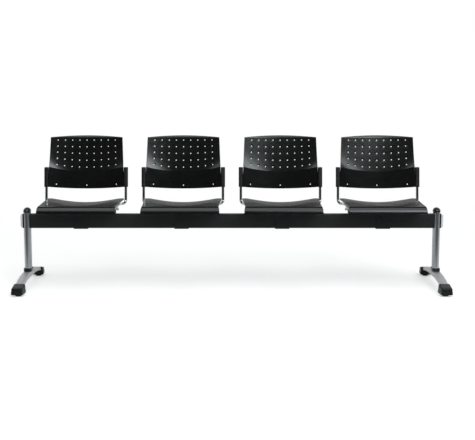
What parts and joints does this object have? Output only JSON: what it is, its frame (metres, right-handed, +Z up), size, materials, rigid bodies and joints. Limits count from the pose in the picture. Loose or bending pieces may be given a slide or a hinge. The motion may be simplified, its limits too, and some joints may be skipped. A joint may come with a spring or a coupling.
{
  "type": "beam bench",
  "caption": "Waiting-room row seating: dished plastic seats with perforated backs on chromed tube frames, clamped to a steel beam on oval columns and arched feet.",
  "frame": {"origin": "on the floor, at the middle of the bench's plan", "axes": "+X to the right in front view, along the beam; the sitter faces -Y; +Z up"},
  "size_m": [2.3714, 0.6886, 0.8304],
  "materials": {
    "black_steel": "black powder coat",
    "black_plastic": "satin black polypropylene with a fine grain",
    "gloss_black": "glossy black plastic",
    "silver": "satin polished",
    "chrome": "bright chromed tube",
    "zinc": "zinc plated",
    "nylon": "black nylon"
  },
  "bodies": {
    "bench": {"beam": "black_steel", "beam_plug_left": "gloss_black", "beam_end_cap_left": "silver", "beam_plug_right": "gloss_black", "beam_end_cap_right": "silver", "column_left": "silver", "clamp_block_left": "zinc", "clamp_rod_left": "zinc", "clamp_nut_left": "zinc", "column_cap_left": "gloss_black", "base_collar_left": "gloss_black", "foot_left": "silver", "foot_cap_left_front": "gloss_black", "foot_cap_left_rear": "gloss_black", "column_right": "silver", "clamp_block_right": "zinc", "clamp_rod_right": "zinc", "clamp_nut_right": "zinc", "column_cap_right": "gloss_black", "base_collar_right": "gloss_black", "foot_right": "silver", "foot_cap_right_front": "gloss_black", "foot_cap_right_rear": "gloss_black", "seat_shell_1": "black_plastic", "backrest_1": "black_plastic", "seat_frame_1": "chrome", "beam_saddle_1": "black_steel", "clamp_strap_1": "black_steel", "clamp_bolt_1_left": "zinc", "clamp_bolt_1_right": "zinc", "seat_shell_2": "black_plastic", "backrest_2": "black_plastic", "seat_frame_2": "chrome", "beam_saddle_2": "black_steel", "clamp_strap_2": "black_steel", "clamp_bolt_2_left": "zinc", "clamp_bolt_2_right": "zinc", "seat_shell_3": "black_plastic", "backrest_3": "black_plastic", "seat_frame_3": "chrome", "beam_saddle_3": "black_steel", "clamp_strap_3": "black_steel", "clamp_bolt_3_left": "zinc", "clamp_bolt_3_right": "zinc", "seat_shell_4": "black_plastic", "backrest_4": "black_plastic", "seat_frame_4": "chrome", "beam_saddle_4": "black_steel", "clamp_strap_4": "black_steel", "clamp_bolt_4_left": "zinc", "clamp_bolt_4_right": "zinc"},
    "glide_left_front": {"glide_pad_left_front": "nylon", "glide_stem_left_front": "zinc"},
    "glide_left_rear": {"glide_pad_left_rear": "nylon", "glide_stem_left_rear": "zinc"},
    "glide_right_front": {"glide_pad_right_front": "nylon", "glide_stem_right_front": "zinc"},
    "glide_right_rear": {"glide_pad_right_rear": "nylon", "glide_stem_right_rear": "zinc"}
  },
  "joints": [
    {"name": "level_left_front", "type": "slide", "parent": "bench", "child": "glide_left_front", "axis": [0, 0, -1], "range_m": [0, 0.012]},
    {"name": "level_left_rear", "type": "slide", "parent": "bench", "child": "glide_left_rear", "axis": [0, 0, -1], "range_m": [0, 0.012]},
    {"name": "level_right_front", "type": "slide", "parent": "bench", "child": "glide_right_front", "axis": [0, 0, -1], "range_m": [0, 0.012]},
    {"name": "level_right_rear", "type": "slide", "parent": "bench", "child": "glide_right_rear", "axis": [0, 0, -1], "range_m": [0, 0.012]}
  ]
}
